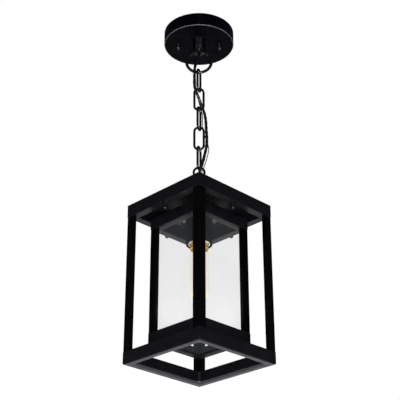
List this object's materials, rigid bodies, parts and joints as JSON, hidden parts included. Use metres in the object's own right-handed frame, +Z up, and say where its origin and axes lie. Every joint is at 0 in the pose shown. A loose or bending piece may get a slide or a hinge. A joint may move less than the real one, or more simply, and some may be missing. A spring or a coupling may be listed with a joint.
{
  "type": "hanging lantern",
  "caption": "Chain-hung box lantern with a round canopy, an open square outer frame and a glazed inner frame around a screw-in lamp.",
  "frame": {"origin": "centre of the canopy's open rim, on the ceiling plane", "axes": "+Z up, +X and +Y square to the lantern's frame faces; the canopy's screws, the ring and the chain's face-on links lie along +X+Y"},
  "size_m": [0.17, 0.17, 0.631],
  "materials": {
    "satin_black": "satin",
    "zinc": "satin",
    "green_screw": "gloss",
    "connector_plastic": "gloss",
    "lead_jacket": "matte",
    "cord_jacket": "matte",
    "clear_glass": "polished",
    "brass": "satin",
    "porcelain": "glazed",
    "lamp_glass": "polished",
    "filament": "gloss"
  },
  "bodies": {
    "canopy": {"canopy_cover": "satin_black", "crossbar_upper": "zinc", "crossbar_lower": "zinc", "crossbar_rivet": "zinc", "canopy_screws": "zinc", "canopy_cap_nuts": "satin_black", "canopy_ground_screw": "green_screw", "wire_connectors": "connector_plastic", "canopy_leads": "lead_jacket", "canopy_nipple": "zinc", "canopy_locknut": "zinc", "hub_nut": "satin_black", "hanging_ring": "satin_black", "cord_1": "cord_jacket"},
    "link_1": {"chain_link_1": "satin_black", "cord_2": "cord_jacket"},
    "link_2": {"chain_link_2": "satin_black", "cord_3": "cord_jacket"},
    "link_3": {"chain_link_3": "satin_black", "cord_4": "cord_jacket"},
    "link_4": {"chain_link_4": "satin_black", "cord_5": "cord_jacket"},
    "link_5": {"chain_link_5": "satin_black"},
    "lantern": {"top_loop": "satin_black", "stem_tube": "satin_black", "top_cap": "satin_black", "lamp_nipple": "zinc", "roof_plate": "satin_black", "roof_screws": "satin_black", "roof_cap_nuts": "satin_black", "spacer": "zinc", "tie_screws": "zinc", "tie_nuts": "zinc", "outer_top_ring": "satin_black", "outer_post_1": "satin_black", "outer_post_2": "satin_black", "outer_post_3": "satin_black", "outer_post_4": "satin_black", "outer_bottom_ring": "satin_black", "ceiling_plate": "satin_black", "inner_top_ring": "satin_black", "inner_post_1": "satin_black", "inner_post_2": "satin_black", "inner_post_3": "satin_black", "inner_post_4": "satin_black", "inner_bottom_ring": "satin_black", "glass_pane_1": "clear_glass", "glass_pane_2": "clear_glass", "glass_pane_3": "clear_glass", "glass_pane_4": "clear_glass", "lantern_ground_screw": "brass", "socket_cup": "satin_black", "socket_nut": "zinc", "socket_body": "porcelain", "socket_shell": "brass", "cord_6": "cord_jacket"},
    "bulb": {"bulb_base": "brass", "bulb_glass": "lamp_glass", "bulb_filament": "filament"}
  },
  "joints": [
    {"name": "joint_1", "type": "hinge", "parent": "canopy", "child": "link_1", "pos_m": [0, 0, -0.08435], "axis": [0.7071, 0.7071, 0], "range_deg": [-20, 20], "deforming": ["cord_1"]},
    {"name": "joint_2", "type": "hinge", "parent": "link_1", "child": "link_2", "pos_m": [0, 0, -0.1239], "axis": [-0.454, 0.891, 0], "range_deg": [-20, 20], "deforming": ["cord_2"]},
    {"name": "joint_3", "type": "hinge", "parent": "link_2", "child": "link_3", "pos_m": [0, 0, -0.16405], "axis": [0.7071, 0.7071, 0], "range_deg": [-20, 20], "deforming": ["cord_3"]},
    {"name": "joint_4", "type": "hinge", "parent": "link_3", "child": "link_4", "pos_m": [0, 0, -0.2042], "axis": [-0.454, 0.891, 0], "range_deg": [-20, 20], "deforming": ["cord_4"]},
    {"name": "joint_5", "type": "hinge", "parent": "link_4", "child": "link_5", "pos_m": [0, 0, -0.24435], "axis": [0.7071, 0.7071, 0], "range_deg": [-20, 20], "deforming": ["cord_5"]},
    {"name": "joint_6", "type": "hinge", "parent": "link_5", "child": "lantern", "pos_m": [0, 0, -0.2845], "axis": [-0.454, 0.891, 0], "range_deg": [-20, 20], "deforming": ["cord_6"]},
    {"name": "bulb_removal", "type": "slide", "parent": "lantern", "child": "bulb", "axis": [0, 0, -1], "range_m": [0, 0.03]}
  ]
}
